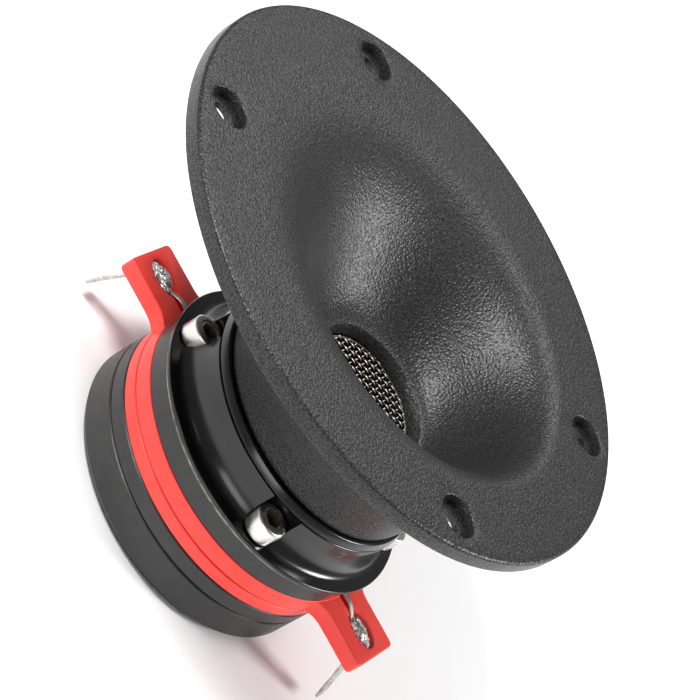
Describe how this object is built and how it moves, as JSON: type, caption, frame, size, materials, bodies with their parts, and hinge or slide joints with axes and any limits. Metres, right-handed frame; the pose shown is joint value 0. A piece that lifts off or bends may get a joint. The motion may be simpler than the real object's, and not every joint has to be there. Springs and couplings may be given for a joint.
{
  "type": "car horn tweeter",
  "caption": "Off-centre horn tweeter: round flange and grained flare over a small compression driver with a glossy stepped cover, a red frame with solder tabs and terminal lugs.",
  "frame": {"origin": "centre of the driver's flat rear face, on the driver's axis", "axes": "+Z along the driver's axis to the horn's mouth, +Y from the driver's axis to the centre of the flange, tabs and lugs on +Y and -Y"},
  "size_m": [0.112, 0.1147, 0.0644],
  "materials": {
    "horn_grain": "black powder-coat look with fine orange-peel grain",
    "cover_gloss": "high-gloss black",
    "ring_black": "satin black paint with bright chamfer lines",
    "red_plastic": "semi-gloss coral red",
    "wire_mesh": "woven wire, bright at the crossings",
    "phase_plug": "matte black",
    "diaphragm": "coated silk",
    "surround": "coated silk",
    "former": "amber polyimide",
    "copper_wire": "copper",
    "nickel": "nickel plate",
    "foam": "matte foam",
    "stainless": "bright stainless, dark hex socket",
    "tinned": "dull tin plate",
    "solder": "lumpy solder, dull and bright patches"
  },
  "bodies": {
    "housing": {"horn": "horn_grain", "horn_gasket": "foam", "horn_collar": "cover_gloss", "throat_mesh": "wire_mesh", "driver_cover": "cover_gloss", "phase_plug": "phase_plug", "frame_front": "red_plastic", "frame_rear": "red_plastic", "surround": "surround", "top_plate": "ring_black", "pole_plate": "nickel", "magnet": "nickel", "shorting_ring": "copper_wire", "damping_pad": "foam", "back_cup": "ring_black", "cap_screw_1": "stainless", "cap_screw_2": "stainless", "cap_screw_3": "stainless", "cap_screw_4": "stainless", "terminal_lug_1": "tinned", "terminal_lug_2": "tinned", "lead_strip_1": "tinned", "lead_strip_2": "tinned", "solder_joint_1": "solder", "solder_joint_2": "solder"},
    "diaphragm": {"diaphragm_dome": "diaphragm", "coil_former": "former", "voice_coil": "copper_wire"}
  },
  "joints": [
    {"name": "diaphragm_travel", "type": "slide", "parent": "housing", "child": "diaphragm", "axis": [0, 0, 1], "range_m": [-0.0004, 0.0004], "stiffness_N_per_m": 300, "deforming": ["surround"]}
  ]
}
